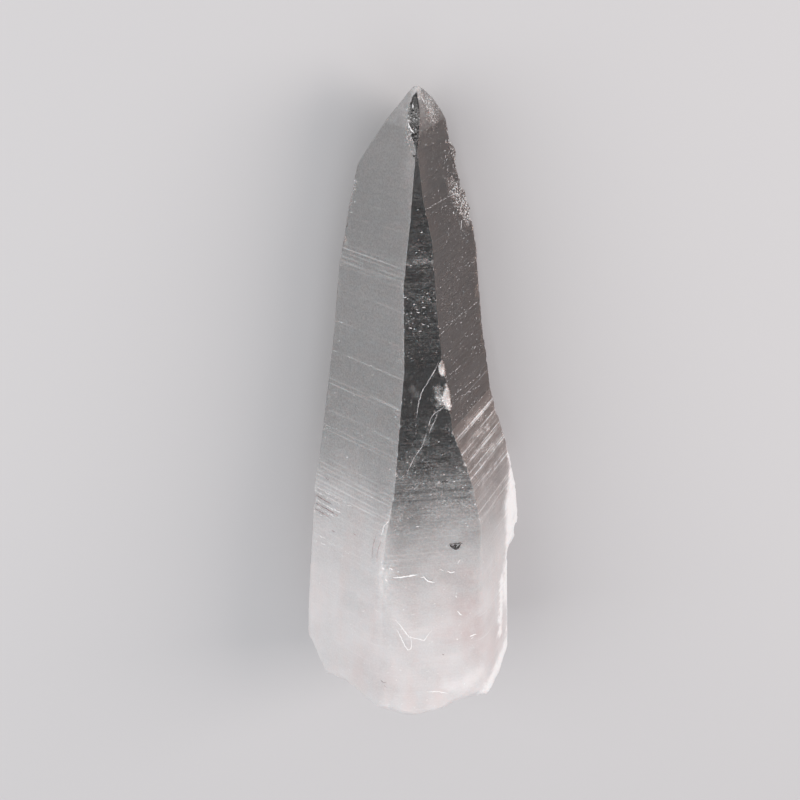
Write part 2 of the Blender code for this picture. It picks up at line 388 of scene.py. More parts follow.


# Bruises under the surface: from and to, the radius at each, softness of the rim, whiteness,
# glitter (painted glints, on a polished and bumpy surface), crumble of the surface. A place is
# (across, station) seen from above, or an edge and a station.
bruises = [
    (("right", 74), ("right", 46), 0.15, 0.3, 0.3, 0.4, 0.3, 0),  # the pale right edge: a painted bright line along the silhouette, for light shining through the edge from behind
    (("right", 44), ("right", 38), 0.2, 2.2, 2, 0.85, 0, 0),  # the white wedge of the flange
    (("right", 38), ("right", 31), 2.2, 8.4, 3.4, 0.9, 0, 0),
    (("right", 31), ("right", 25), 8.4, 5.6, 3.6, 0.9, 0, 0),
    (("right", 25), ("right", 16), 6.4, 4, 3.2, 1, 0.1, 0),
    (("right", 18), ("right", 5), 1.4, 1.4, 1.2, 1, 0.1, 0.02),  # the white rim of the root
    ((18, 19), (17.5, 8), 1.1, 1, 0.9, 0.95, 0.1, 0),
    (("right", 6), ("right", -2), 1.8, 3.4, 2, 1, 0.2, 0.02),
    (("right", 3.5), (13, -0.8), 1.4, 1.6, 2.4, 0.9, 0.1, 0),
    ((9.6, 54.6), (14.4, 53.4), 0.5, 0.8, 1.4, 0.2, 0.1, 0),  # pale clouds in the streaks
    ((11.6, 51.6), (15.6, 50.4), 0.5, 0.9, 1.4, 0.22, 0.1, 0),
    ((13.2, 48), (16.2, 47), 0.4, 0.7, 1.4, 0.16, 0.1, 0),
    (("left", 37), ("left", 24), 0.8, 1.4, 2.4, 0.1, 0.1, 0),  # pale band down the left edge
    ((8.4, 98.4), (12.2, 92.6), 1.8, 2.6, 2, 0.05, 1.2, 0.14),  # crumbled patch near the tip, with painted glints
    (("right", 110), ("right", 90), 0.6, 0.9, 0.8, 0.06, 1, 0.1),
    ((-1.2, 115.6), (-1.4, 110.6), 1, 1.2, 0.8, 0, 0.45, 0.09),  # floor of the chip at the tip
    ((2.2, 116), (4, 112.6), 1, 1.6, 1.6, 0.06, 0.7, 0.05),
    (("leftBack", 100), ("leftBack", 96), 0.4, 0.5, 0.5, 0.2, 0.6, 0.05),
    (("top", 69.6), ("top", 67.6), 0.05, 0.8, 0.7, 0.6, 0.3, 0.03),  # bruises on the edge of the top
    (("top", 64.8), ("top", 60.6), 0.3, 0.7, 0.7, 0.55, 0.5, 0.03),
    ((-7.2, 28.5), (-7.8, 22.5), 0.9, 0.7, 1.8, 0.3, 0, 0),  # veils in the root
    ((-5.4, 18.6), (-2, 15), 0.4, 1.4, 2.4, 0.2, 0, 0),
    ((5, 3), (12, 4.5), 1.2, 1.6, 3, 0.3, 0, 0),
    ((2.9, 64.4), (3.4, 61.8), 0.4, 0.9, 1.8, 0.28, 0.5, 0),
    ((-1.9, 65.2), (-0.9, 63), 0.3, 0.5, 0.9, 0.1, 0, 0),
    ((-1, 52.4), (-4.4, 47.6), 0.8, 1.4, 1.6, 0.04, 0.03, 0),
    ((1.6, 57.2), (0.4, 54.4), 0.5, 0.7, 1, 0.1, 0.1, 0),
    ((-0.8, 88.9), (0.6, 88.5), 0.6, 0.5, 1.6, 0.06, 0.06, 0),
    ((-6.1, 41.2), (-7.8, 34.7), 0.2, 0.7, 0.9, 0.09, 0, 0),  # pale sliver beside the top face
    ((-7.8, 34.7), (-8.6, 29.5), 0.7, 0.8, 1.4, 0.08, 0, 0),
    ((0, 119.4), (0.4, 118.4), 0.9, 0.9, 1.6, 0.35, 0.1, 0),
]
# How ragged their rims are. Each noise: millimetres to a wave, place in the noise.
ragged = dict(wide=(1.1, 3), small=(0.45, 7), smallShare=0.9, reach=0.9)


def upperSpot(across, station):
    # The point of the upper faces straight above one place.
    heights = []
    for name in ("top", "right", "left"):
        out = faceNormal(name)
        heights.append((faceDistance(name, station) - across * out[0]) / out[2])
    return np.array([across, station, min(heights)])


def spotOf(place, edges):
    # The point of a place in the list of bruises.
    if isinstance(place[0], str):
        return spotOnLine(edges["lines"][place[0]], edges["stations"], place[1])
    return upperSpot(*place)


def bruise(points, edges, rng):
    # How white every point is with bruises, how it glitters and how far it crumbles.
    white = np.zeros(len(points))
    glitter = np.zeros(len(points))
    crumble = np.zeros(len(points))
    rim = cloudy(points, *ragged["wide"]) + ragged["smallShare"] * cloudy(points, *ragged["small"])
    rim *= ragged["reach"]
    for low, high, lowRadius, highRadius, soft, whiteness, sparkle, depth in bruises:
        start, end = spotOf(low, edges), spotOf(high, edges)
        along = end - start
        share = np.clip((points - start) @ along / (along @ along), 0, 1)
        far = np.linalg.norm(points - start - share[:, None] * along, axis=1)
        radius = lowRadius + (highRadius - lowRadius) * share
        far = far + rim * np.minimum(radius, 1.0)
        inside = eased(np.clip((radius - far) / soft + 0.5, 0, 1))
        white = np.maximum(white, inside * whiteness)
        glitter = np.maximum(glitter, inside * sparkle)
        crumble = np.maximum(crumble, inside * depth)
    return white, glitter, crumble * rng.uniform(-1, 1, len(points))


# How milky the crystal is, face by face: station and share. The root is the milkiest.
milkiness = dict(
    top=[
        (-8, 0.87), (3, 0.85), (8, 0.82), (14, 0.77), (22, 0.69), (32, 0.48), (37.6, 0.32),
        (41.5, 0.21), (44, 0.15), (47, 0.09), (50, 0.04), (53, 0.01), (56, 0),
    ],
    right=[
        (-8, 0.95), (4, 0.9), (12, 0.82), (20, 0.78), (28, 0.66), (34, 0.52), (39, 0.35), (44, 0.17),
        (50, 0.06), (55, 0),
    ],
    rightBack=[(-8, 0.92), (12, 0.88), (24, 0.74), (36, 0.5), (46, 0.24), (58, 0)],
    back=[(-8, 0.92), (12, 0.86), (24, 0.72), (36, 0.42), (46, 0.18), (58, 0)],
    leftBack=[(-8, 0.92), (12, 0.86), (24, 0.72), (36, 0.48), (46, 0.22), (60, 0)],
    left=[
        (-8, 0.78), (8, 0.79), (15, 0.81), (22, 0.75), (30, 0.64), (37, 0.44), (44, 0.22), (52, 0.07),
        (60, 0.01), (66, 0),
    ],
    broken=[(-8, 0.84), (119, 0.84)],
)
milkDrift = dict(
    wander=5,                # millimetres that the milk drifts up and down
    wide=(16, 1),            # millimetres to a wave, place in the noise
    small=(3, 5),
    smallShare=0.3,
    clouds=(4, 9),
    cloudiness=0.12,
)


def milkOf(points, owners):
    drift = cloudy(points, *milkDrift["wide"])
    drift += milkDrift["smallShare"] * cloudy(points, *milkDrift["small"])
    milk = np.zeros(len(points))
    for i, table in enumerate(milkiness.values()):
        mine = owners == i
        milk[mine] = tableAt(table, (points[:, 1] + drift * milkDrift["wander"])[mine])
    clouds = cloudy(points, *milkDrift["clouds"])
    return np.clip(milk * (1 + milkDrift["cloudiness"] * clouds), 0, 1)


# Where the growth lines are strong, face by face: station, half width, strength. Above 1 they
# spread into white streaks.
lineBands = dict(
    top=[
        (97, 2, 0.2), (88.5, 2.5, 0.3), (56, 7, 0.2), (47, 4, 0.3), (40, 4, 0.3), (32, 5, 0.4),
        (20, 9, 0.2),
    ],
    left=[
        (85.3, 2.3, 0.7), (79, 0.7, 0.4), (66.4, 0.5, 0.4), (60.3, 0.9, 0.8), (54.4, 0.6, 0.6),
        (51, 0.8, 0.6), (42, 3.4, 0.8), (34.5, 3, 0.4), (28, 4, 0.2), (72, 4, 0.3), (93, 3, 0.35),
        (105, 8, 0.3),
    ],
    right=[
        (97.8, 0.4, 0.7), (92, 1.5, 0.3), (75, 0.5, 0.5), (66.2, 0.5, 0.6), (60, 1.2, 0.8),
        (54.2, 1.2, 1.85), (51.4, 1, 2), (48.9, 0.8, 2), (46.2, 1.1, 1.8), (43.2, 1.8, 1.6),
        (39, 2.5, 1.2), (34, 8, 0.5),
    ],
    rightBack=[(30, 20, 0.5), (80, 12, 0.6)],
    leftBack=[(40, 25, 0.6), (90, 8, 0.6)],
    back=[(60, 30, 0.3)],
)
leastLines = 0.12            # strength away from the bands

# How hazy the clear faces are with fine stipple, by station.
haziness = dict(
    top=[
        (0, 0.3), (30, 0.4), (38, 0.8), (44, 1), (48, 0.7), (53, 0.4), (62, 0.2), (70, 0.2),
        (75, 0.35), (84, 0.4), (87, 0.3), (88.5, 1.1), (90, 0.4), (96, 0.25), (119, 0.25),
    ],
    right=[(0, 0.4), (44, 0.8), (56, 0.5), (64, 0.3), (96, 0.3), (104, 0.4), (119, 0.5)],
    left=[(0, 0.2), (119, 0.1)],
    rear=[(0, 0.5)],
)

# Single growth lines that stand out, on the nearest ring: station, and how white, or how dark
# where it's below zero.
boldLines = dict(
    left=[
        (88, 0.4), (87.2, 0.6), (86.4, 0.4), (85.6, 0.6), (84.8, 0.35), (83.8, 0.6), (79.2, 0.2),
        (72.4, 0.15), (66.4, 0.25), (60.8, 0.45), (59.8, 0.6), (54.4, 0.4), (51.2, 0.6), (50.4, 0.3),
        (44.6, 0.35), (43.4, 0.45), (42.6, 0.45), (41.6, 0.6), (40.8, 0.5), (39.8, 0.7), (39, 0.5),
        (38.4, 0.8), (37.4, 0.4), (36, 0.3), (34.4, 0.2), (32.4, 0.1),
    ],
    top=[
        (96, 0.1), (88.8, 0.2), (75.2, 0.1), (49, -0.3), (47.4, 0.15), (44.4, -0.3), (44.2, -0.5),
        (44, -0.3), (42.6, -0.4), (42.4, -0.4), (40.2, 0.2), (36, 0.15),
    ],
    right=[
        (55.8, 0.3), (53.4, 0.2), (50.6, 0.2), (48.2, 0.3), (45.6, 0.2), (41.2, 0.2), (37.8, 0.2),
        (17.2, 0.3), (12, 0.3),
    ],
)
lineFading = dict(knots=7, strength=(0.1, 1.2))


def lineStrength(name, stations):
    strength = np.full(len(stations), leastLines)
    for middle, half, most in lineBands[name]:
        strength = np.maximum(strength, most * np.exp(-((stations - middle) / half) ** 2))
    return strength


def boldLineSheet(name, stations, count, rng):
    # How bold the lines are over a face's points. Each line fades in and out on its way across.
    sheet = np.zeros((len(stations), count))
    knots = np.arange(lineFading["knots"])
    for station, strength in boldLines.get(name, []):
        row = np.argmin(np.abs(stations - station))
        fading = rng.uniform(*lineFading["strength"], len(knots))
        sheet[row] = strength * np.interp(np.linspace(0, knots[-1], count), knots, fading)
    return sheet


def hazeOf(name, stations):
    return tableAt(haziness.get(name, haziness["rear"]), stations)


# Where small white specks are thick, seen from above: across, station, radius, share of the cells.
speckBands = [
    (-0.5, 88.8, 2, 0.4), (1.6, 82.4, 2.2, 0.5), (0, 80, 3, 0.35), (-0.5, 76.6, 3, 0.3),
    (10.5, 95, 5, 0.7), (8, 106, 5, 0.45), (3.5, 115, 4.5, 0.8), (12, 80, 9, 0.25), (13, 63, 7, 0.3),
    (12, 50, 8, 0.35), (-2.5, 48, 4, 0.25), (0, 36, 8, 0.1), (6, 18, 9, 0.12), (-6, 26, 5, 0.15),
]
leastSpecks = 0.06

# Where the milk is rosy: across, station, radius, share.
rosyPlaces = [
    (8.1, 26, 2.6, 0.8), (8.3, 20, 3, 1), (9.8, 14.5, 3.5, 0.8), (11.4, 10, 3, 0.5),
    (5.8, 14.5, 2.5, 0.6), (15.9, 8, 3.5, 0.5), (-9.5, 6, 4, 0.3),
]
rosyClouds = (0.5, 1.8, 6)   # strength, millimetres to a wave, place in the noise


def placedShare(points, places, least=0.0):
    # How strong the places are over the points. A place fades out past half its radius.
    share = np.full(len(points), least)
    for across, station, radius, most in places:
        far = np.hypot(points[:, 0] - across, points[:, 1] - station)
        share = np.maximum(share, most * np.clip(1.5 - far / radius, 0, 1))
    return share


def bendToBreak(stations, grid):
    # Bends the lowest rings so that the first one runs along the rim of the break.
    straight = crystal["straightFrom"]
    rim = grid[0].copy()
    for _ in range(4):       # the rim settles where each column meets the break
        rim[:, 1] = breakHeight(rim[:, 0], rim[:, 2])
        for c in range(len(rim)):
            rim[c, ::2] = spotOnLine(grid[:, c], stations, rim[c, 1])[::2]
    share = np.clip((straight - stations) / (straight - stations[0]), 0, 1)
    for c in range(len(rim)):
        bent = straight - (straight - rim[c, 1]) * share
        bent = np.where(stations >= straight, stations, bent)
        grid[:, c] = spotOnLine(grid[:, c], stations, bent)
        grid[:, c, 1] = bent


def rimRounding(away, wear):
    # How far the worn rim falls back, and how far it's drawn along, this far away from it.
    turn = (1 - np.minimum(away / wear, 1)) * np.pi / 4
    return wear * (1 - np.cos(turn)), np.where(turn > 0, wear * (1 - np.sin(turn)) - away, 0)


def closeBreak(grid):
    # Rounds the rim, and gives the points of the break, ring by ring, with its middle and the tip.
    rim = grid[0].copy()
    middle = rim.mean(axis=0)
    inward = middle - rim
    inward[:, 1] = 0
    inward /= np.linalg.norm(inward, axis=1)[:, None]
    wear = rootBreak["rimWear"] * (1 + rootBreak["wearChange"] * cloudy(rim, *rootBreak["wearNoise"]))
    points = []
    for k in range(1, rootBreak["rings"]):
        share = 1 - (k / rootBreak["rings"]) ** rootBreak["ringCrowding"]
        ring = middle + (rim - middle) * share
        ring[:, 1] = breakHeight(ring[:, 0], ring[:, 2])
        fall, pull = rimRounding(np.hypot(ring[:, 0] - rim[:, 0], ring[:, 2] - rim[:, 2]), wear)
        ring[:, 1] += fall
        ring += inward * pull[:, None]
        points.append(ring)
    middle[1] = breakHeight(middle[0], middle[2])
    points.append(np.array([middle, [0, crystal["tip"], 0]]))
    fall, pull = rimRounding(grid[:, :, 1] - rim[:, 1], wear)
    grid += inward * fall[:, :, None]
    grid[:, :, 1] += pull
    return np.concatenate(points)


def crystalFaces(rows, owners):
    # The walls, the rings of the break, and the fan at the tip, each with its owner.
    columns = len(owners)
    nextTo = [(c, (c + 1) % columns) for c in range(columns)]
    walls = rows * columns
    faces = []
    for low in range(0, walls - columns, columns):
        high = low + columns
        faces += [(low + d, low + c, high + c, high + d) for c, d in nextTo]
    middle = walls + (rootBreak["rings"] - 1) * columns
    for high in range(walls, middle, columns):
        low = 0 if high == walls else high - columns
        faces += [(low + c, low + d, high + d, high + c) for c, d in nextTo]
    faces += [(middle - columns + c, middle - columns + d, middle) for c, d in nextTo]
    faces += [(walls - columns + d, walls - columns + c, middle + 1) for c, d in nextTo]
    onBreak = np.full(rootBreak["rings"] * columns, len(faceNames))
    return faces, np.concatenate([np.tile(owners, rows - 1), onBreak, owners])


def buildCrystal():
    stations, grid, owners, edges = crystalGrid()
    first = np.searchsorted(stations, crystal["keptFrom"])
    stations, grid = stations[first:], grid[first:]
    bendToBreak(stations, grid)
    capPoints = closeBreak(grid)
    points = np.concatenate([grid.reshape(-1, 3), capPoints])
    wearEdges(points, edges)
    white, clear = chipAway(points, edges)
    rng = np.random.default_rng(chips["seed"] + 1)
    bruised, glitter, crumble = bruise(points, edges, rng)
    outward = points * (1, 0, 1)     # away from the axis, and less so close to it
    outward /= np.maximum(np.linalg.norm(outward, axis=1), 0.5)[:, None]
    points -= outward * np.abs(crumble)[:, None]

    onBreak = np.full(len(capPoints), len(faceNames))
    pointOwners = np.concatenate([np.tile(owners, len(stations)), onBreak])
    broken = pointOwners == len(faceNames)
    glints = cloudy(points[broken], *rootBreak["glitterNoise"])
    glitter[broken] = rootBreak["glitter"] * np.clip(glints, 0, 1)

    def overFaces(sheetOf):
        # A value for each point of the walls, from a sheet for each face, and zero on the break.
        sheets = [sheetOf(name, crystal["columns"][name]) for name in faceNames]
        return np.concatenate([np.concatenate(sheets, axis=1).ravel(), np.zeros(len(capPoints))])

    marks = dict(
        frost=np.maximum(white, bruised),
        clearedAndShaded=clear,
        glittery=glitter,
        specked=placedShare(points, speckBands, leastSpecks),
        rosy=placedShare(points, rosyPlaces) * (1 + rosyClouds[0] * cloudy(points, *rosyClouds[1:])),
        milk=milkOf(points, pointOwners),
        lined=overFaces(lambda name, count: np.stack([lineStrength(name, stations)] * count, axis=1)),
        hazed=overFaces(lambda name, count: np.stack([hazeOf(name, stations)] * count, axis=1)),
        bold=overFaces(lambda name, count: boldLineSheet(name, stations, count, rng)),
    )
    faces, faceOwner = crystalFaces(len(stations), owners)
    return points, faces, faceOwner, marks


def crystalMatrix():
    # From the crystal's own frame to the row's, found from the tip of the CAD solid.
    tilt = Matrix.Rotation(-math.atan(crystal["backTaper"]), 4, "X")
    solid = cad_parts["crystal"]
    tip = max((solid.matrix_world @ v.co for v in solid.data.vertices), key=lambda p: p.y)
    return Matrix.Translation(tip - tilt @ Vector((0, crystal["tip"] * mm, 0))) @ tilt


# How each face is finished, by station: satin white, roughness, and a painted reflection: a brownish
# tint for the dark surroundings mirrored in the face.
faceFinish = dict(
    top=[(0, 0.24, 0.30, 0), (18, 0.2, 0.28, 0), (34, 0.02, 0.28, 0), (46, 0.005, 0.28, 0)],
    right=[
        (0, 0.24, 0.3, 0.1), (18, 0.2, 0.28, 0), (30, 0.14, 0.28, 0.1), (44, 0.16, 0.28, 0.55),
        (50, 0.2, 0.28, 0.65), (55.4, 0.2, 0.28, 0.7), (56, 0.04, 0.28, 1), (96, 0.02, 0.28, 1),
        (100, 0, 0.28, 1), (111, 0, 0.28, 1), (111.4, 0.1, 0.28, 0.6), (117, 0.22, 0.28, 0.2),
    ],
    rightBack=[(0, 0.24, 0.30, 0.5)],
    back=[(0, 0.10, 0.12, 0.2)],
    leftBack=[(0, 0.16, 0.30, 0.3)],
    left=[
        (0, 0.28, 0.3, 0), (40, 0.27, 0.3, 0), (52, 0.28, 0.3, 0), (80, 0.29, 0.3, 0),
        (92, 0.26, 0.3, 0), (111.9, 0.26, 0.3, 0), (112.1, 0.32, 0.3, 0), (117, 0.38, 0.3, 0),
    ],
    broken=[(0, 0.55, 0.30, 0)],
)


def finishOfFaces(faceOwner, faceStation):
    finish = np.zeros((len(faceOwner), 3))
    for i, table in enumerate(faceFinish.values()):
        mine = faceOwner == i
        for column in range(3):
            finish[mine, column] = tableAt(table, faceStation[mine], column + 1)
    return finish


def addObject(name, data):
    made = bpy.data.objects.new(name, data)
    bpy.context.scene.collection.objects.link(made)
    return made


def addPiece(name, bm):
    # A piece from a mesh in the crystal's own frame, with its faces turned outwards.
    bmesh.ops.recalc_face_normals(bm, faces=bm.faces)
    mesh = bpy.data.meshes.new(name)
    bm.to_mesh(mesh)
    bm.free()
    mesh.transform(crystalMatrix())
    return addObject(name, mesh)


def makeCrystal():
    points, faces, faceOwner, marks = buildCrystal()
    mesh = bpy.data.meshes.new("points")
    mesh.from_pydata((points * mm).tolist(), [], faces)
    finish = finishOfFaces(faceOwner, points[[face[0] for face in faces], 1])
    layers = [(name, "FACE", finish[:, i]) for i, name in enumerate(("satin", "rough", "reflectedBrown"))]
    layers += [(name, "POINT", values) for name, values in marks.items()]
    for name, domain, values in layers:
        mesh.attributes.new(name, "FLOAT", domain).data.foreach_set("value", values)
    bm = bmesh.new()
    bm.from_mesh(mesh)
    bpy.data.meshes.remove(mesh)
    bmesh.ops.remove_doubles(bm, verts=bm.verts, dist=crystal["merge"] * mm)
    made = addPiece("quartzCrystal", bm)
    made.data.shade_smooth()
    made.data.set_sharp_from_angle(angle=math.radians(crystal["sharpAngle"]))
    triangles = sum(len(face.vertices) - 2 for face in made.data.polygons)
    print("crystal:", len(made.data.vertices), "points,", triangles, "triangles")
    return made


def newMaterial(name):
    material = bpy.data.materials.new(name)
    material.use_nodes = True
    tree = material.node_tree
    return material, tree, tree.nodes["Principled BSDF"]


def fill(node, inputs):
    # Sets a node's inputs, or links them where another node's output is given.
    for name, value in inputs.items():
        if isinstance(value, bpy.types.NodeSocket):
            node.id_data.links.new(value, node.inputs[name])
        else:
            node.inputs[name].default_value = value


def addNode(tree, kind, inputs=None, **settings):
    made = tree.nodes.new("ShaderNode" + kind)
    for name, value in settings.items():
        setattr(made, name, value)
    fill(made, inputs or {})
    return made


def stretched(tree, place, scale):
    # A place in so many waves or cells a millimetre each way.
    return addNode(tree, "Mapping", {"Vector": place, "Scale": scale}).outputs[0]


def noiseOn(tree, place, scale, detail=2.0, rough=0.5):
    made = addNode(tree, "TexNoise", {
        "Vector": stretched(tree, place, scale), "Scale": 1.0, "Detail": detail, "Roughness": rough,
    })
    return made.outputs["Fac"]


def cellsOn(tree, place, scale):
    # Three random values for each cell, and how far away the cell's middle is.
    made = addNode(tree, "TexVoronoi", {"Vector": stretched(tree, place, scale), "Scale": 1.0})
    values = addNode(tree, "SeparateColor", {0: made.outputs["Color"]})
    return list(values.outputs) + [made.outputs["Distance"]]


def rangeOn(tree, value, low, high, to=(0.0, 1.0)):
    made = addNode(tree, "MapRange", {
        "Value": value, "From Min": low, "From Max": high, "To Min": to[0], "To Max": to[1],
    })
    return made.outputs[0]


def mixColours(tree, share, a, b):
    return addNode(tree, "Mix", {0: share, 6: a, 7: b}, data_type="RGBA").outputs[2]


quartz = dict(
    clear=(0.90, 0.90, 0.90, 1),
    dusky=(0.68, 0.675, 0.675, 1),   # where fine grain darkens the clear faces
    # the brownish tint of the painted reflection
    reflectedBrown=(0.35, 0.19, 0.13, 1),
    shade=(0.30, 0.30, 0.31, 1),
    white=(0.98, 0.97, 0.97, 1),
    milk=(0.765, 0.745, 0.75, 1),
    rosyMilk=(0.76, 0.705, 0.70, 1),
    rose=(0.67, 0.585, 0.58, 1),
    lineWhite=0.24,          # how much less clear each kind of mark is than the face
    streakWhite=0.44,
    speckWhite=0.9,
    paintedGlintWhite=0.8,
    haze=0.25,
    streakPale=0.68,         # how far the colour of a streak turns white
    specks=(2, 3.4, 2),      # cells a millimetre each way
    speckSize=(0.12, 0.22),  # least, and how much is added at most
    speckPower=1.6,          # above 1, small specks outnumber big ones
    speckLight=(0.3, 0.7),
    flakes=(3.6, 4.6, 3.6),
    satinGrain=(0.85, 0.3),
    moteShare=0.26,
    hairShare=0.3,
    milkRough=0.08,
    glitterPolish=-0.25,
    leastRough=0.06,
    reliefGrain=0.3,
    reliefGlitter=3.0,
    reliefStrength=0.4,
    reliefDepth=0.06,        # millimetres
    glow=0.7,                # light that spreads under the milky parts
    glowColour=(1.0, 0.85, 0.8),
    glowReach=4,             # millimetres
    ior=1.544,
    absorb=(0.80, 0.74, 0.70, 1),
    absorbDensity=6.0,
)
# The noises in it: waves a millimetre (across, along, out), detail, roughness.
patterns = dict(
    lines=((0.03, 2.6, 0.03), 3, 0.6),       # growth lines too fine to model
    streaks=((0.08, 1.15, 0.08), 2),         # wider streaks
    breaks=((0.35, 0.5, 0.35), 3),           # what breaks the streaks up
    stipple=((1.5, 3.8, 1.5), 3, 0.65),
    hairs=((0.18, 4.5, 0.18), 2),
    patches=((0.3, 0.8, 0.3), 3),
    grain=((3, 3, 3), 2),
    bloom=((0.22, 0.05, 0.22), 3),
)
# How they are cut: from, to, and what those two become where that isn't 0 and 1.
cuts = dict(
    lines=(0.56, 0.68),
    lineBreaks=(0.25, 0.55, (0.3, 1)),
    boldBreaks=(0.25, 0.5, (0.5, 1.2)),
    streaks=(0.30, 0.54),
    streakBreaks=(0.28, 0.50),
    streakBands=(1, 1.9),
    streakLines=(0.45, 0.56, (0.15, 1)),
    streakMotes=(0, 1, (0.6, 1.1)),
    stipple=(0.54, 0.80),
    patches=(0.3, 0.65, (0.3, 1.3)),
    hairs=(0.50, 0.62),
    sparks=(0.60, 0.95),
    bruiseBreaks=(0.25, 0.5, (0.6, 1)),
    rosyMilk=(0.45, 0.65),
    dusk=(0.35, 0.65),
    darkLines=(0, -1),
    relief=(0, 1, (0.3, 1.1)),
)


def quartzMaterial():
    material, tree, shader = newMaterial("quartz")
    marks = {}
    for name in (
        "satin", "rough", "reflectedBrown", "frost", "clearedAndShaded", "glittery", "lined", "bold", "hazed", "specked",
        "milk", "rosy",
    ):
        marks[name] = addNode(tree, "Attribute", attribute_name=name).outputs["Fac"]
    milk = marks["milk"]

    def sums(operation, a, b, c=0.0, **settings):
        return addNode(tree, "Math", {0: a, 1: b, 2: c}, operation=operation, **settings).outputs[0]

    def times(a, b):
        return sums("MULTIPLY", a, b)

    def timesPlus(a, b, c):
        return sums("MULTIPLY_ADD", a, b, c)

    def cut(name, value):
        return rangeOn(tree, value, *cuts[name])

    laid = crystalMatrix()
    place = addNode(tree, "Mapping", {
        "Vector": addNode(tree, "TexCoord").outputs["Object"],
        "Location": laid.to_translation(), "Rotation": laid.to_euler(), "Scale": (mm, mm, mm),
    }, vector_type="TEXTURE").outputs[0]
    lines, streaks, breaks, stipple, hairs, patches, grain, bloom = (
        noiseOn(tree, place, *pattern) for pattern in patterns.values()
    )
    shards, motes = cellsOn(tree, place, quartz["flakes"])[:2]

    # Small white specks of several sizes, thick where the piece is specked.
    bent = addNode(tree, "VectorMath", {0: place, 1: grain}, operation="ADD").outputs[0]
    chance, size, light, away = cellsOn(tree, bent, quartz["specks"])
    size = sums("POWER", size, quartz["speckPower"])
    size = timesPlus(size, quartz["speckSize"][1], quartz["speckSize"][0])
    specks = times(sums("LESS_THAN", away, size), sums("GREATER_THAN", marks["specked"], chance))
    specks = times(specks, timesPlus(light, quartz["speckLight"][1], quartz["speckLight"][0]))

    lined = sums("MINIMUM", marks["lined"], 1.0)
    fineLines = times(times(cut("lines", lines), lined), cut("lineBreaks", breaks))
    fineLines = timesPlus(marks["bold"], cut("boldBreaks", breaks), fineLines)
    wide = times(cut("streaks", streaks), cut("streakBreaks", breaks))
    for name, mark in (("streakBands", marks["lined"]), ("streakLines", lines), ("streakMotes", motes)):
        wide = times(wide, cut(name, mark))
    stippled = cut("stipple", timesPlus(motes, quartz["moteShare"], stipple))
    hazed = times(stippled, cut("patches", patches))
    hazed = timesPlus(cut("hairs", hairs), quartz["hairShare"], hazed)
    hazed = times(hazed, marks["hazed"])
    # Sparks: painted glints, white flecks where the surface glitters. The glitter also polishes the
    # surface and roughens its relief.
    sparks = times(cut("sparks", shards), marks["glittery"])
    bruised = times(marks["frost"], cut("bruiseBreaks", breaks))

    # What isn't frosted or milky is clear.
    frost = times(timesPlus(grain, quartz["satinGrain"][1], quartz["satinGrain"][0]), marks["satin"])
    for mark, share in ((hazed, "haze"), (fineLines, "lineWhite"), (wide, "streakWhite")):
        frost = timesPlus(mark, quartz[share], frost)
    frost = times(frost, sums("SUBTRACT", 1.0, marks["clearedAndShaded"]))
    for mark, share in ((specks, "speckWhite"), (sparks, "paintedGlintWhite")):
        frost = timesPlus(mark, quartz[share], frost)
    frost = sums("ADD", frost, bruised, use_clamp=True)
    clearShare = times(sums("SUBTRACT", 1.0, frost), sums("SUBTRACT", 1.0, milk))

    milky = mixColours(tree, cut("rosyMilk", bloom), quartz["milk"], quartz["rosyMilk"])
    milky = mixColours(tree, marks["rosy"], milky, quartz["rose"])
    colour = mixColours(tree, cut("dusk", grain), quartz["dusky"], quartz["clear"])
    # Painted reflection: a brownish tint, strongest on the right face, for the dark surroundings
    # mirrored in it.
    colour = mixColours(tree, marks["reflectedBrown"], colour, quartz["reflectedBrown"])
    colour = mixColours(tree, milk, colour, milky)
    # Painted shade: clear chips darken to the shade colour, as though looking through into shadow; dark
    # growth lines take the same colour.
    shaded = sums("MAXIMUM", marks["clearedAndShaded"], cut("darkLines", marks["bold"]))
    colour = mixColours(tree, shaded, colour, quartz["shade"])
    whitened = sums("ADD", sums("ADD", specks, sparks), fineLines)
    pale = sums("MAXIMUM", bruised, times(wide, quartz["streakPale"]))
    whitened = sums("ADD", whitened, pale, use_clamp=True)
    colour = mixColours(tree, whitened, colour, quartz["white"])

    roughness = timesPlus(milk, quartz["milkRough"], marks["rough"])
    roughness = timesPlus(marks["glittery"], quartz["glitterPolish"], roughness)
    relief = times(lines, cut("relief", lined))
    for mark in (grain, stipple):
        relief = timesPlus(mark, quartz["reliefGrain"], relief)
    relief = timesPlus(shards, times(marks["glittery"], quartz["reliefGlitter"]), relief)
    bump = addNode(tree, "Bump", {
        "Height": relief, "Strength": quartz["reliefStrength"], "Distance": quartz["reliefDepth"] * mm,
    })
    fill(shader, {
        "Base Color": colour,
        "Transmission Weight": clearShare,
        "Roughness": sums("MAXIMUM", roughness, quartz["leastRough"]),
        "Normal": bump.outputs[0],
        "IOR": quartz["ior"],
        "Subsurface Weight": quartz["glow"],
        "Subsurface Radius": quartz["glowColour"],
        "Subsurface Scale": quartz["glowReach"] * mm,
    })
    volume = addNode(tree, "VolumeAbsorption", {
        "Color": quartz["absorb"], "Density": quartz["absorbDensity"],
    })
    fill(tree.nodes["Material Output"], {"Volume": volume.outputs[0]})
    return material


piece = makeCrystal()
piece.data.materials.append(quartzMaterial())
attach(piece, "root")
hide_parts("crystal")


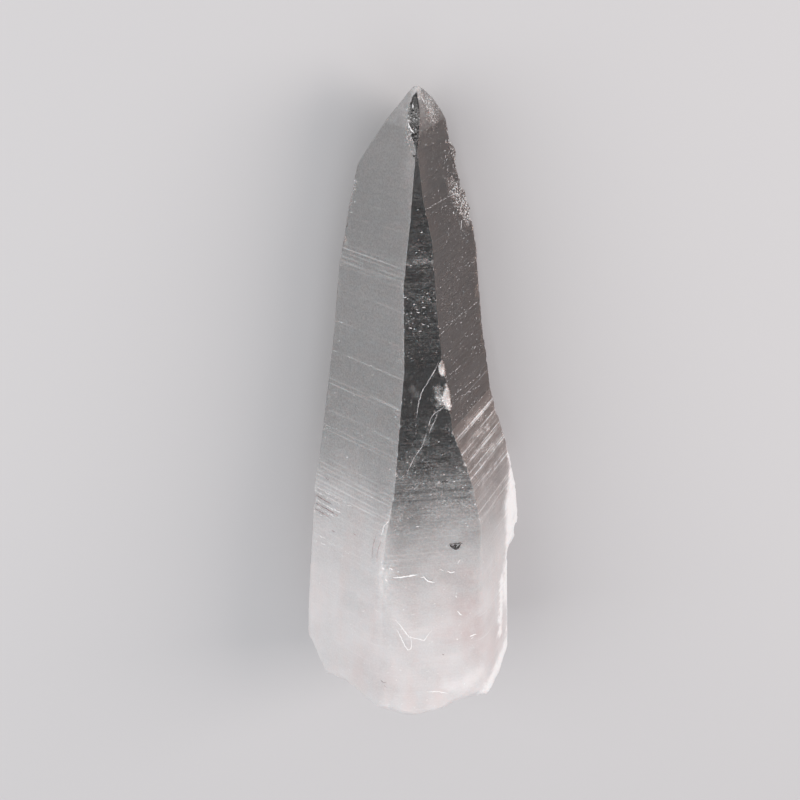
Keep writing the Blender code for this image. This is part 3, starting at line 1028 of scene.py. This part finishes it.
# Healed cracks, scratches and flecks, drawn on the surface as seen from above: width, the
# (across, station) points, and the depth below the surface where it isn't the usual one.
strokes = dict(
    healedCracks=[
        (0.16, [
            (3.1, 69.6), (2.6, 68.4), (1.5, 66.5), (0.1, 64.3), (-0.5, 62.8), (-0.9, 60.8),
            (-1.2, 58.9),
        ], 1.6),
        (0.09, [(-1.2, 57.8), (-1.3, 57.1)], 0.3), (0.09, [(-1.3, 56.2), (-1.35, 55.6)], 0.3),
        (0.16, [(4.4, 61.1), (3.3, 60.2), (2.3, 59.7), (1.6, 58.7), (1, 57)], 1.2),
        (0.12, [(2.9, 59.9), (2.4, 58.3), (1.6, 56.8), (1.2, 55.6)], 0.9),
        (0.13, [
            (0.7, 56), (0.6, 55.3), (-0.1, 53.3), (-0.9, 52.2), (-1.7, 51.1), (-2.4, 49.5),
            (-3.2, 48.2),
        ], 1),
        (0.1, [(-3.5, 48), (-4, 47.5), (-4.7, 47.1)], 0.5), (0.08, [(-0.4, 52.6), (-1.3, 52.4)], 0.3),
    ],
    scratches=[
        (0.34, [(-5.9, 27.2), (-4.6, 27.15), (-3, 27.25), (-1.3, 27.4)]),
        (0.1, [(-5.2, 26.8), (-5.1, 27.6)]),
        (0.24, [(-0.7, 26.7), (0.1, 26.8), (0.8, 25.9), (2.2, 25.4)]),
        (0.14, [(-1.4, 37.2), (-0.7, 37.3)]), (0.12, [(3, 28.1), (3.9, 27.8)]),
        (0.1, [(-6.4, 29.8), (-6.7, 28.6)]),
        (0.18, [
            (-5.6, 18.3), (-4.5, 16.9), (-3.7, 15.6), (-3, 14.5), (-1.6, 14), (0, 13.5), (0.8, 14.6),
            (1.6, 15.7),
        ], 0.2),
        (0.18, [
            (-5.3, 16.2), (-4.5, 14.4), (-3.8, 12.6), (-3.2, 11.7), (-2.6, 11.9), (-2.5, 13.1),
            (-2.7, 14.6),
        ], 0.2),
        (0.26, [(6.5, 19.2), (7.4, 18.1)]), (0.3, [(9.1, 13.3), (9.8, 13.5), (10.5, 13.4)]),
        (0.2, [(9.3, 12.7), (9.9, 13)]), (0.22, [(4.6, 27.6), (5.2, 27.2), (6, 27.4)]),
        (0.34, [(-7.9, 29.3), (-7.6, 28.9)]), (0.34, [(-6.4, 29.2), (-6, 28.8)]),
        (0.26, [(-7.4, 26.9), (-7, 26.5)]), (0.22, [(-6.6, 39), (-7.4, 37.4), (-7.9, 35.6)]),
        (0.2, [(0.4, 2.4), (2.8, 2.2), (4.6, 1.6)]), (0.12, [(6.6, 29), (7.1, 29.9)]),
        (0.08, [(-9.3, 19.9), (-8.5, 19.6)]), (0.07, [(-2.4, 19.2), (-1.6, 19.3)]),
    ],
    # Glints: painted highlights, white blades that stand in for flashes of light.
    glints=[
        (0.34, [(10.5, 91.6), (10.35, 90.9), (10.2, 90)], 0.2), (0.18, [(10.8, 91.5), (11.6, 91.2)]),
        (0.3, [(-1.75, 113.3), (-1.65, 112.5), (-1.4, 112), (-0.9, 111.5)], 0.2),
        (0.26, [(-1, 116.4), (-0.95, 115.6)]), (0.3, [(0.7, 117.4), (1.15, 116.7), (1.5, 116.1)]),
        (0.2, [(14, 71.4), (14.1, 70.9)]), (0.2, [(14.2, 60.8), (14.4, 60.2)]),
    ],
    # Rosy dark lines. Those between the white rows low on the left face are painted ledge shadows.
    rosyLinesAndShadows=[
        (0.28, [(-15.4, 36.4), (-16.6, 36.5), (-18.6, 36.6)]),
        (0.24, [(-14.6, 34.8), (-16.2, 35), (-18.6, 35)]),
        (0.24, [(-16, 33.6), (-17.2, 33.8), (-18.8, 33.8)]), (0.2, [(-15.6, 40.7), (-16.6, 40.8)]),
        (0.14, [(-8.7, 35), (-9.3, 32.4), (-9.5, 30)]),
        (0.12, [(-8, 34.4), (-8.6, 32), (-8.8, 29.8)]), (0.2, [(-12.2, 33), (-11.8, 32.9)]),
        (0.18, [(-15.6, 31.4), (-15.2, 31.3)]), (0.2, [(3.6, 10.2), (3.9, 10)]),
        (0.16, [(-8.4, 4.8), (-7.8, 4.4), (-7.3, 4.5)]), (0.14, [(-7.8, 3.8), (-7.3, 3.5)]),
    ],
    darkFlecks=[
        (0.6, [(6.3, 31.9), (5.8, 32.4), (5.1, 33)], 0.2),
        (0.7, [(6.3, 31.9), (6.2, 32.5), (6.1, 33.1)], 0.2),
        (0.6, [(6.4, 31.9), (6.7, 32.4), (7.2, 33)], 0.2),
        (0.26, [(4.9, 33.2), (6.2, 33.2), (7.6, 33.2)]),
        (0.8, [(-1.3, 107.8), (-0.8, 107.4), (-0.3, 107.5)], 0.2),
        (0.5, [(-1.1, 107.1), (-0.4, 106.7)], 0.2), (0.36, [(3.5, 45.8), (4, 46), (4.8, 45.9)], 0.3),
        (0.36, [(-3, 57.4), (-2.4, 57.3), (-1.9, 57.1)], 0.3),
        (0.4, [(-2, 56.4), (-1.5, 56.6), (-0.9, 56.5)], 0.3), (0.2, [(-3, 56.6), (-2.5, 56.5)], 0.3),
    ],
)


# Broken rows of specks along growth lines: from, to (across, station), how far they stray,
# width, share drawn.
speckRows = [
    ((0.7, 98), (7.6, 97.2), 0.05, 0.14, 0.7), ((2, 96.6), (8.6, 95.6), 0.15, 0.1, 0.3),
    ((3.2, 75.5), (14.5, 73.8), 0.1, 0.16, 0.45), ((3, 74.6), (9, 74.2), 0.15, 0.1, 0.3),
    ((9, 83), (14.2, 81.8), 0.2, 0.14, 0.5), ((4, 70.4), (12, 69), 0.15, 0.08, 0.25),
    ((4.2, 66.4), (9, 65.6), 0.04, 0.16, 0.7), ((4.4, 65.6), (8, 65), 0.1, 0.1, 0.4),
    ((5, 62.2), (14, 60.4), 0.05, 0.16, 0.5), ((5.9, 61), (14.3, 58.5), 0.1, 0.14, 0.4),
    ((6.2, 57.4), (15, 56), 0.1, 0.12, 0.4), ((-3, 81.6), (2.6, 81.4), 0.4, 0.14, 0.25),
    ((-3.3, 79.1), (0.4, 79), 0.08, 0.16, 0.5), ((-1, 80), (3.6, 79), 0.5, 0.14, 0.3),
    ((-3.4, 75.8), (0.6, 75.6), 0.3, 0.12, 0.3), ((-1.5, 76.8), (2.6, 76.4), 0.5, 0.12, 0.25),
    ((-12, 38), (-20.4, 38.2), 0.05, 0.24, 0.8), ((-14, 37.2), (-20.4, 37.4), 0.05, 0.34, 0.9),
    ((-14, 35.6), (-20.5, 35.8), 0.05, 0.4, 0.9), ((-15, 34.3), (-20.6, 34.4), 0.08, 0.34, 0.9),
    ((-16, 33.2), (-20.6, 33.3), 0.08, 0.24, 0.7), ((-13, 28.6), (-18, 28.8), 0.1, 0.3, 0.8),
    ((-14, 27.4), (-18.5, 27.6), 0.1, 0.22, 0.7), ((-8, 66.4), (-18, 66.5), 0.08, 0.08, 0.3),
    ((-16, 31), (-20, 30.4), 0.3, 0.14, 0.4), ((-7, 8), (9, 6), 1.6, 0.1, 0.12),
    ((-8, 22), (9, 20), 2, 0.1, 0.1),
]

# Scattered specks: across, station, spread across and along, how many, width.
scatters = dict(
    # Painted highlights: scattered white glints.
    glints=[
        (10.4, 95.6, 1.3, 1.9, 34, 0.26), (11.8, 93.4, 0.9, 1.6, 22, 0.3),
        (8.8, 97.4, 1.2, 0.6, 14, 0.22), (7.4, 106.2, 0.6, 2.2, 14, 0.2),
        (-1.2, 113, 0.4, 1.8, 6, 0.14), (10, 60, 4, 20, 8, 0.24),
    ],
    brokenRows=[
        (9.5, 82, 3, 8, 40, 0.17), (10, 66, 3.6, 7, 34, 0.16), (6, 106, 2.5, 5, 26, 0.16),
        (12.5, 50, 3.4, 4, 40, 0.22), (4, 114.5, 1.4, 1.8, 26, 0.16),
    ],
)

# Both are drawn as short dashes.
dashes = dict(
    length=(0.1, 0.7),
    stray=0.05,              # millimetres that each end strays
    width=(0.6, 1.5),        # as shares of the width that a row gives
    gap=(0.6, 1.6),
    scatteredWidth=(0.5, 1.5),
    scatteredReach=(-0.15, 0.15),
)


def scatteredDashes(kind, rng):
    made = []
    for across, station, wide, high, count, width in scatters.get(kind, []):
        for _ in range(count):
            spot = rng.normal((across, station), (wide, high))
            way = rng.uniform(*dashes["scatteredReach"], 2)
            made.append((width * rng.uniform(*dashes["scatteredWidth"]), [spot - way, spot + way]))
    return made


def rowDashes(rng):
    made = []
    for start, end, stray, width, share in speckRows:
        start, way = np.array(start), np.subtract(end, start)
        length = np.hypot(*way)
        at = 0.0
        while at < length:
            dash = rng.uniform(*dashes["length"])
            aside = rng.normal(0, stray, 2)
            ends = [
                start + way * reach / length + aside + rng.normal(0, dashes["stray"], 2)
                for reach in (at, min(at + dash, length))
            ]
            made.append((width * rng.uniform(*dashes["width"]), ends))
            at += dash / share * rng.uniform(*dashes["gap"])
    return made


# The finish of each kind of mark: its darkest and palest colour, and its greatest clearness.
strokeFinish = dict(
    healedCracks=((0.7, 0.69, 0.7, 1), (0.93, 0.92, 0.93, 1), 0.7),
    scratches=((0.93, 0.93, 0.93, 1), (0.99, 0.99, 0.99, 1), 0),
    rosyLinesAndShadows=((0.34, 0.27, 0.27, 1), (0.6, 0.5, 0.5, 1), 0.5),
    brokenRows=((0.8, 0.78, 0.78, 1), (0.96, 0.95, 0.95, 1), 0.35),
    glints=((0.93, 0.93, 0.93, 1), (0.99, 0.99, 0.99, 1), 0.2),
    darkFlecks=((0.01, 0.01, 0.01, 1), (0.10, 0.095, 0.095, 1), 0),
)
# How every stroke is made, in millimetres: a row of rings along a thin blade.
blades = dict(
    depth=0.1,               # where a stroke doesn't give its own
    spacing=0.22,
    leastRings=4,
    stray=0.035,
    lean=0.5,                # how far a blade leans to one side on its way down
    raised=0.03,             # how far its top stands out
    thinEnd=0.25,            # share of the width at the ends, and how fast it grows from there
    taper=4,
    uneven=(0.6, 1.2),
    rayHeight=40,            # where the rays start that find the surface
    flakes=((1.6, 1.6, 1.6), 3),     # waves a millimetre, detail
    paleCut=(0.4, 0.6),
    clearCut=(0.35, 0.65),
    roughness=0.35,
    seed=11,
)


def strokeMaterial(name):
    material, tree, shader = newMaterial(name)
    row = addNode(tree, "TexCoord").outputs["Object"]
    flakes = stretched(tree, row, (1 / mm, 1 / mm, 1 / mm))      # millimetres
    flakes = noiseOn(tree, flakes, *blades["flakes"])
    deep, pale, clearest = strokeFinish[name]
    fill(shader, {
        "Base Color": mixColours(tree, rangeOn(tree, flakes, *blades["paleCut"]), deep, pale),
        "Roughness": blades["roughness"],
        "IOR": quartz["ior"],
    })
    if clearest:
        gone = rangeOn(tree, flakes, *blades["clearCut"], (clearest, clearest / 4))
        fill(shader, {"Transmission Weight": gone})
    return material


def addBlade(bm, surface, rng, width, spots, depth=blades["depth"]):
    # One thin blade, half sunk in the surface, thinning at both ends.
    spots = np.array(spots, float)
    length = np.concatenate([[0], np.cumsum(np.hypot(*np.diff(spots, axis=0).T))])
    count = max(blades["leastRings"], int(length[-1] / blades["spacing"]))
    at = np.linspace(0, length[-1], count)
    across = np.interp(at, length, spots[:, 0]) + rng.normal(0, blades["stray"], count)
    station = np.interp(at, length, spots[:, 1]) + rng.normal(0, blades["stray"], count)
    lean = rng.normal(0, blades["lean"])
    rings = []
    for k in range(count):
        start = Vector((across[k], station[k], blades["rayHeight"])) * mm
        hit, out, _, _ = surface.ray_cast(start, Vector((0, 0, -1)))
        if hit is None:      # past the edge of the crystal
            break
        before, after = max(k - 1, 0), min(k + 1, count - 1)
        way = Vector((across[after] - across[before], station[after] - station[before], 0))
        side = way.cross(out).normalized()
        thin = min(1, blades["thinEnd"] + blades["taper"] * min(k, count - 1 - k) / count)
        thin *= rng.uniform(*blades["uneven"])
        half = side * (width * thin / 2 * mm)
        top = out * (blades["raised"] * mm)
        sink = (-out + side * lean).normalized() * (depth * thin * mm)
        rings.append([bm.verts.new(hit + corner) for corner in (half, top, -half, sink)])
    if len(rings) < 2:
        return
    for a, b in zip(rings, rings[1:]):
        for i in range(4):
            bm.faces.new((a[i], a[(i + 1) % 4], b[(i + 1) % 4], b[i]))
    bm.faces.new(rings[0][::-1])
    bm.faces.new(rings[-1])


def makeStrokes(name, surface, rng):
    bm = bmesh.new()
    for stroke in strokes[name]:
        addBlade(bm, surface, rng, *stroke)
    made = addPiece(name, bm)
    made.data.materials.append(strokeMaterial(name))
    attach(made, "root")
    print(name + ":", len(strokes[name]))


def makeAllStrokes():
    bm = bmesh.new()
    bm.from_mesh(piece.data)
    bm.transform(crystalMatrix().inverted())
    surface = BVHTree.FromBMesh(bm)
    bm.free()
    rng = np.random.default_rng(blades["seed"])
    strokes["brokenRows"] = rowDashes(rng)
    for name in strokes:
        strokes[name] = strokes[name] + scatteredDashes(name, rng)
        makeStrokes(name, surface, rng)


makeAllStrokes()


floorLook = dict(size=3, colour=(0.60, 0.60, 0.61, 1), roughness=0.7)


def makeFloor():
    bpy.ops.mesh.primitive_plane_add(size=floorLook["size"])
    floor = bpy.context.active_object
    floor.name = "floor"
    material, _, shader = newMaterial("paleFloor")
    fill(shader, {"Base Color": floorLook["colour"], "Roughness": floorLook["roughness"]})
    floor.data.materials.append(material)


# The studio: colour and strength of the air, and each lamp's place, size, watts and colour.
studio = dict(
    air=((0.94, 0.94, 0.97, 1), 0.62),
    lamps=dict(
        softLeft=((-0.5, 0.1, 0.45), (0.5, 0.5), 2.1, (1, 0.98, 0.96)),
        softRight=((0.5, 0.1, 0.4), (0.3, 0.4), 1.95, (1, 0.905, 0.86)),
    ),
)


def makeLights():
    world = bpy.data.worlds.new("studio")
    bpy.context.scene.world = world
    world.use_nodes = True
    colour, strength = studio["air"]
    fill(world.node_tree.nodes["Background"], {"Color": colour, "Strength": strength})
    for name, (spot, size, watts, colour) in studio["lamps"].items():
        data = bpy.data.lights.new(name, "AREA")
        data.shape = "RECTANGLE"
        data.size, data.size_y = size
        data.energy = watts
        data.color = colour
        lamp = addObject(name, data)
        lamp.location = spot
        lamp.rotation_euler = (-Vector(spot)).to_track_quat("-Z", "Y").to_euler()


# The camera, in the crystal's own frame: where it looks, from which way and how far.
cameraSettings = dict(
    lookAt=(-2.574, 58.9, -3.348),
    towards=(-0.161, 0.370, 0.915),
    across=(0.9848, 0, 0.1736),
    distance=336.3,
    lens=79.65,
    sensor=36,
    clipStart=0.01,
)


def makeCamera():
    data = bpy.data.cameras.new("camera")
    data.lens = cameraSettings["lens"]
    data.sensor_width = cameraSettings["sensor"]
    data.clip_start = cameraSettings["clipStart"]
    camera = addObject("camera", data)
    back = Vector(cameraSettings["towards"]).normalized()
    across = Vector(cameraSettings["across"])
    up = back.cross(across).normalized()
    across = up.cross(back)
    turn = Matrix((across, up, back)).transposed().to_4x4()
    spot = Vector(cameraSettings["lookAt"]) + back * cameraSettings["distance"]
    camera.matrix_world = crystalMatrix() @ Matrix.Translation(spot * mm) @ turn
    bpy.context.scene.camera = camera


makeFloor()
makeLights()
makeCamera()
scene = bpy.context.scene
scene.cycles.caustics_refractive = False
scene.cycles.caustics_reflective = False
scene.cycles.use_denoising = True
scene.view_settings.view_transform = "Standard"
